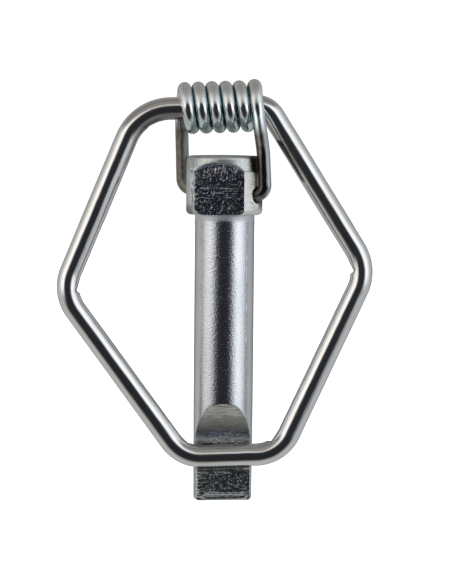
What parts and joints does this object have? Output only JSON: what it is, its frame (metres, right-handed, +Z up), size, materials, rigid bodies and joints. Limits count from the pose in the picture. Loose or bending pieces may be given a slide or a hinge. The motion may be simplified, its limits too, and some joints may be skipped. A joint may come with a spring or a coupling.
{
  "type": "hitch pin lock",
  "caption": "Round hitch pin with an upset head, a coil spring hooked into the head and a hexagonal wire bail that snaps into a notch at the tip.",
  "frame": {"origin": "on the pin's axis, in the plane of the head's underside", "axes": "+Z up the pin towards its head, +X to the right, and the notch in the tip faces -Y"},
  "size_m": [0.0588, 0.0142, 0.0786],
  "materials": {
    "pin_steel": "bright zinc plate over a cold-headed blank, with dull sheared faces at the head's flats and in the notch",
    "spring_wire": "bright zinc plate with a faint blue-green tint, drawn along the wire",
    "bail_wire": "bright zinc plate, drawn along the wire, nicked by the bending tool at its corners"
  },
  "bodies": {
    "pin": {"pin": "pin_steel"},
    "spring": {"torsion_spring": "spring_wire"},
    "bail": {"wire_bail": "bail_wire"}
  },
  "joints": [
    {"name": "spring_swing", "type": "hinge", "parent": "pin", "child": "spring", "pos_m": [-0.00024, -0.00049, 0.00428], "axis": [-0.8931, 0.443, 0.0784], "range_deg": [0, 120]},
    {"name": "bail_swing", "type": "hinge", "parent": "spring", "child": "bail", "pos_m": [0, 0, 0.02005], "axis": [-0.9992, 0, -0.0401], "range_deg": [0, 350]}
  ]
}
